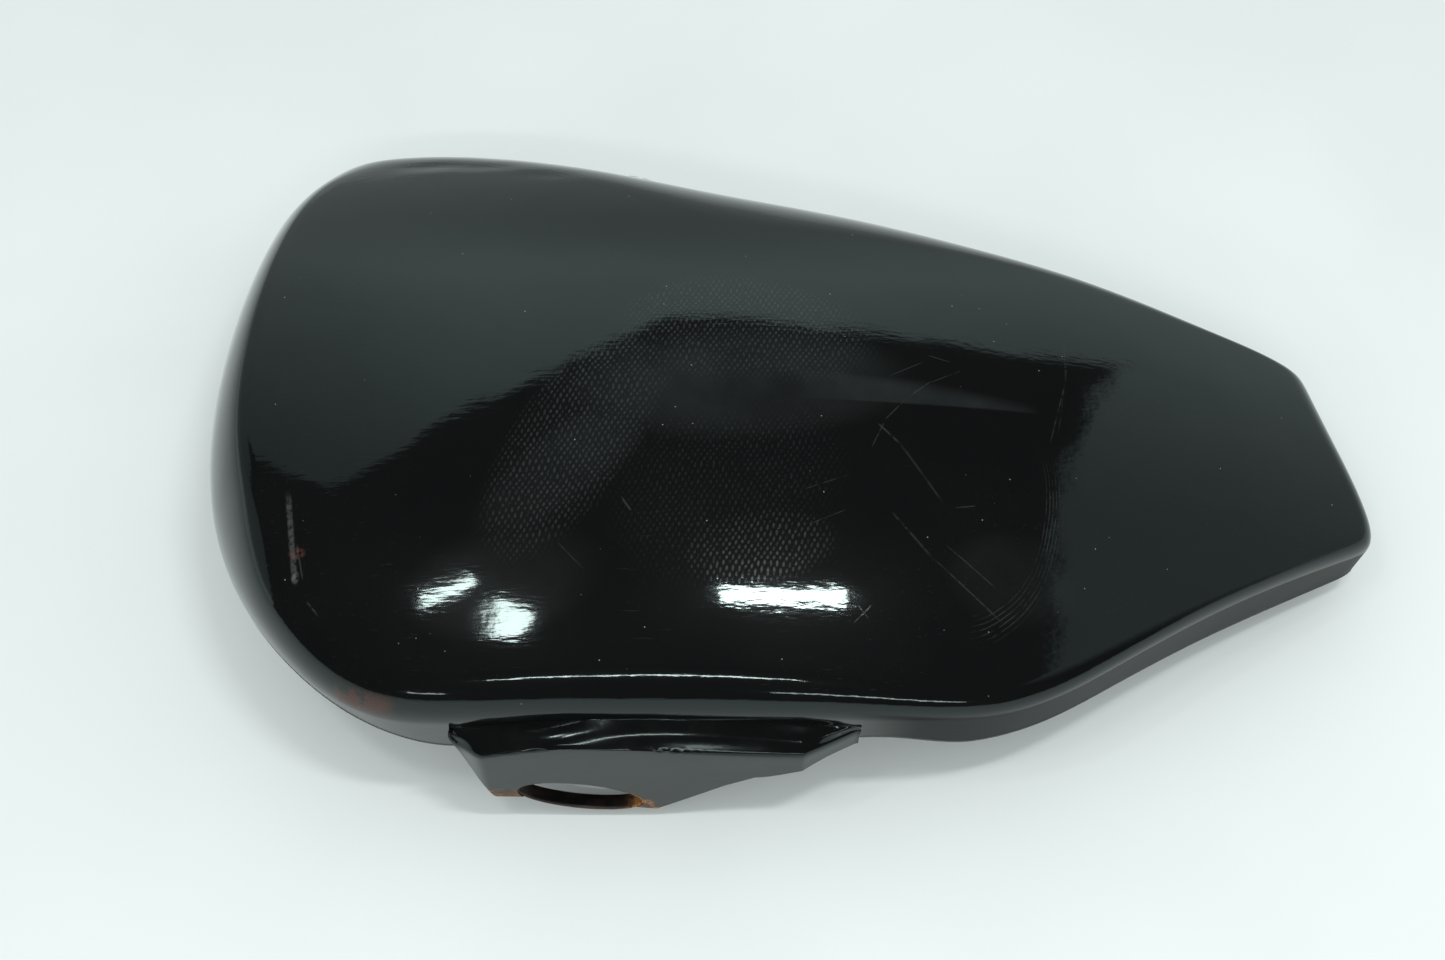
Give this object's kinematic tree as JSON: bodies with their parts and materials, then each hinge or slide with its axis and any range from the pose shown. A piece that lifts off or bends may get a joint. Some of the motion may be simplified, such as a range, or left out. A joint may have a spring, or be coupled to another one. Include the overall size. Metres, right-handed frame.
{
  "type": "motorcycle fuel tank",
  "caption": "Side half of a split motorcycle fuel tank: glossy rounded pressed-steel shell, tunnel wall, underside bracket with a flanged oval hole, and a turning, lifting filler cap.",
  "frame": {"origin": "centre of the footprint at the centre plane that the tank lies on", "axes": "+X to the tail, +Y to the top of the tank as fitted on the bike, +Z out from the side of the bike"},
  "size_m": [0.539, 0.3509, 0.124],
  "materials": {
    "gloss_paint": "gloss black enamel with fine scratches",
    "inner_paint": "thinner black paint with overspray and light rust",
    "rusty_edge": "black paint worn to brown and orange rust",
    "bare_steel": "zinc-plated, dulled",
    "cap_chrome": "polished with light haze",
    "black_rubber": "matt",
    "valve_brass": "dull"
  },
  "bodies": {
    "shell": {"outer_skin": "gloss_paint", "inner_pan": "inner_paint", "mount_bracket": "gloss_paint", "mount_collar": "rusty_edge", "baffle_plate": "bare_steel", "filler_neck": "bare_steel", "vent_pipe": "bare_steel", "crossover_nipple": "bare_steel", "outlet_bung": "bare_steel", "front_cup": "inner_paint", "front_cup_liner": "black_rubber", "rear_boss": "bare_steel", "rear_boss_washer": "black_rubber", "tunnel_pads": "black_rubber"},
    "seal": {"cap_gasket": "black_rubber"},
    "cap": {"cap_shell": "cap_chrome", "cap_plug": "bare_steel", "vent_disc": "valve_brass", "vent_spring": "bare_steel", "vent_retainer": "bare_steel"}
  },
  "joints": [
    {"name": "cap_lift", "type": "slide", "parent": "shell", "child": "seal", "axis": [0.299, 0.9542, 0], "range_m": [0, 0.04]},
    {"name": "cap_turn", "type": "hinge", "parent": "seal", "child": "cap", "pos_m": [-0.078, 0.15, 0.0265], "axis": [0.299, 0.9542, 0], "range_deg": [0, 90]}
  ]
}
